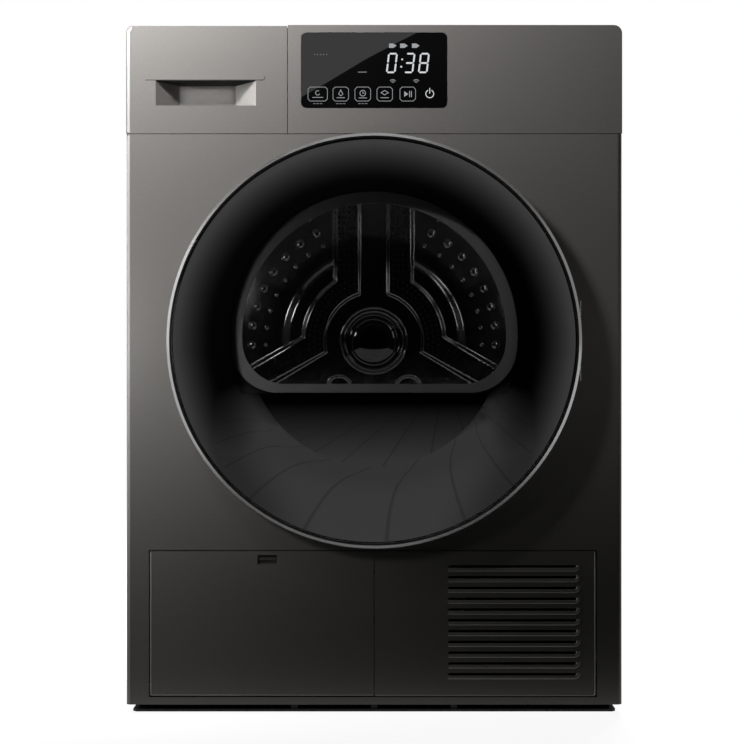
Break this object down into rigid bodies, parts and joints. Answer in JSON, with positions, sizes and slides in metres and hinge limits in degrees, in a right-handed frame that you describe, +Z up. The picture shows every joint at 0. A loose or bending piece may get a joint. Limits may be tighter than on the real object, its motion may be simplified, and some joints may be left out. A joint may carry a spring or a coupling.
{
  "type": "clothes dryer",
  "caption": "Front-loading heat-pump clothes dryer with a round tinted glass door, touch display, pull-out water drawer, drop-down service flap and air grille",
  "frame": {"origin": "on the floor under the middle of the machine's overall box", "axes": "+Z up, +X to the right seen from the front, -Y out of the door"},
  "size_m": [0.596, 0.64, 0.828],
  "materials": {
    "body_paint": "satin metallic dark grey paint",
    "fascia_plastic": "satin metallic dark grey moulding",
    "galvanised": "bare zinc-coated sheet",
    "stainless": "stainless steel, satin",
    "chrome_trim": "satin chrome",
    "dark_glass": "tinted glass",
    "clear_glass": "clear glass",
    "display_glass": "gloss black panel",
    "black_plastic": "matt black moulding",
    "dark_plastic": "matt dark grey moulding",
    "grey_plastic": "matt light grey moulding",
    "tank_plastic": "blow-moulded milky plastic",
    "rubber": "black rubber",
    "felt": "pressed felt",
    "mesh": "fine filter mesh in a frame",
    "aluminium": "bare aluminium fins",
    "board": "green circuit board",
    "machine_black": "black enamel"
  },
  "bodies": {
    "cabinet": {"side_panel_left": "body_paint", "side_panel_right": "body_paint", "rear_panel": "galvanised", "rear_duct_cover": "galvanised", "worktop": "body_paint", "front_panel": "body_paint", "control_fascia": "fascia_plastic", "display_window": "display_glass", "control_board": "board", "base_tray": "dark_plastic", "base_cover": "grey_plastic", "grille_panel": "fascia_plastic", "front_bulkhead": "grey_plastic", "drum_felts": "felt", "rear_bulkhead": "galvanised", "drum_bearing": "stainless", "roller_axles": "stainless", "tank_tray": "grey_plastic", "water_pump": "black_plastic", "pump_hose": "rubber", "drain_spigot": "grey_plastic", "compressor": "machine_black", "heat_exchangers": "aluminium", "filter_cover": "grey_plastic", "motor_housing": "machine_black", "fan_scroll": "dark_plastic", "drive_belt": "rubber", "hinge_bracket": "stainless", "hinge_pin": "stainless", "door_lock": "black_plastic", "mains_inlet": "black_plastic", "panel_screws": "galvanised"},
    "drum": {"drum_shell": "stainless", "drum_rear_wall": "stainless", "drum_lifters": "grey_plastic", "drum_hub_cap": "stainless", "drum_shaft": "stainless"},
    "rotor": {"motor_rotor": "stainless", "fan_impeller": "dark_plastic"},
    "tensioner": {"tension_arm": "stainless"},
    "idler": {"idler_wheel": "dark_plastic"},
    "roller_left": {"drum_roller_left": "rubber"},
    "roller_right": {"drum_roller_right": "rubber"},
    "door": {"door_ring": "chrome_trim", "door_lens": "dark_glass", "door_frame": "dark_plastic", "window_bezel": "dark_plastic", "door_bowl": "clear_glass", "door_seal": "rubber", "door_latch": "stainless"},
    "water_drawer": {"tank_front": "fascia_plastic", "tank_body": "tank_plastic"},
    "flap": {"service_flap": "fascia_plastic"},
    "flap_catch": {"flap_latch": "dark_plastic"},
    "filter": {"lint_filter": "mesh"},
    "lever": {"cover_lever": "dark_plastic"},
    "foot_fl": {"foot_front_left": "rubber"},
    "foot_fr": {"foot_front_right": "rubber"},
    "foot_rl": {"foot_rear_left": "rubber"},
    "foot_rr": {"foot_rear_right": "rubber"}
  },
  "joints": [
    {"name": "drum_spin", "type": "hinge", "parent": "cabinet", "child": "drum", "pos_m": [0, 0, 0.457], "axis": [0, 1, 0], "continuous": true},
    {"name": "motor_spin", "type": "hinge", "parent": "cabinet", "child": "rotor", "pos_m": [0.11, 0, 0.105], "axis": [0, 1, 0], "continuous": true},
    {"name": "roller_left_spin", "type": "hinge", "parent": "cabinet", "child": "roller_left", "pos_m": [-0.19473, -0.215, 0.20775], "axis": [0, 1, 0], "continuous": true},
    {"name": "roller_right_spin", "type": "hinge", "parent": "cabinet", "child": "roller_right", "pos_m": [0.19473, -0.215, 0.20775], "axis": [0, 1, 0], "continuous": true},
    {"name": "tensioner_swing", "type": "hinge", "parent": "cabinet", "child": "tensioner", "pos_m": [0.08, -0.05, 0.072], "axis": [0, -1, 0], "range_deg": [0, 18], "stiffness_Nm_per_rad": 3, "springref_deg": -8.59},
    {"name": "idler_spin", "type": "hinge", "parent": "tensioner", "child": "idler", "pos_m": [0.03506, -0.06, 0.11041], "axis": [0, 1, 0], "continuous": true},
    {"name": "door_swing", "type": "hinge", "parent": "cabinet", "child": "door", "pos_m": [0.2435, -0.3025, 0.4483], "axis": [0, 0, 1], "range_deg": [0, 160]},
    {"name": "drawer_slide", "type": "slide", "parent": "cabinet", "child": "water_drawer", "axis": [0, -1, 0], "range_m": [0, 0.46]},
    {"name": "flap_swing", "type": "hinge", "parent": "cabinet", "child": "flap", "pos_m": [-0.135, -0.284, 0.0276], "axis": [1, 0, 0], "range_deg": [0, 90]},
    {"name": "flap_catch_slide", "type": "slide", "parent": "flap", "child": "flap_catch", "axis": [0, 0, -1], "range_m": [0, 0.003], "stiffness_N_per_m": 900, "springref_m": -0.002},
    {"name": "filter_lift", "type": "slide", "parent": "cabinet", "child": "filter", "axis": [0, 0, 1], "range_m": [0, 0.1]},
    {"name": "lever_turn", "type": "hinge", "parent": "cabinet", "child": "lever", "pos_m": [-0.12, -0.2575, 0.11], "axis": [0, 1, 0], "range_deg": [0, 90]},
    {"name": "foot_fl_screw", "type": "slide", "parent": "cabinet", "child": "foot_fl", "axis": [0, 0, -1], "range_m": [0, 0.015]},
    {"name": "foot_fr_screw", "type": "slide", "parent": "cabinet", "child": "foot_fr", "axis": [0, 0, -1], "range_m": [0, 0.015]},
    {"name": "foot_rl_screw", "type": "slide", "parent": "cabinet", "child": "foot_rl", "axis": [0, 0, -1], "range_m": [0, 0.015]},
    {"name": "foot_rr_screw", "type": "slide", "parent": "cabinet", "child": "foot_rr", "axis": [0, 0, -1], "range_m": [0, 0.015]}
  ],
  "couplings": [
    {"joint": "motor_spin", "follows": "drum_spin", "ratio": 28.1},
    {"joint": "roller_left_spin", "follows": "drum_spin", "ratio": -8.0286},
    {"joint": "roller_right_spin", "follows": "drum_spin", "ratio": -8.0286},
    {"joint": "idler_spin", "follows": "drum_spin", "ratio": -18.733}
  ]
}
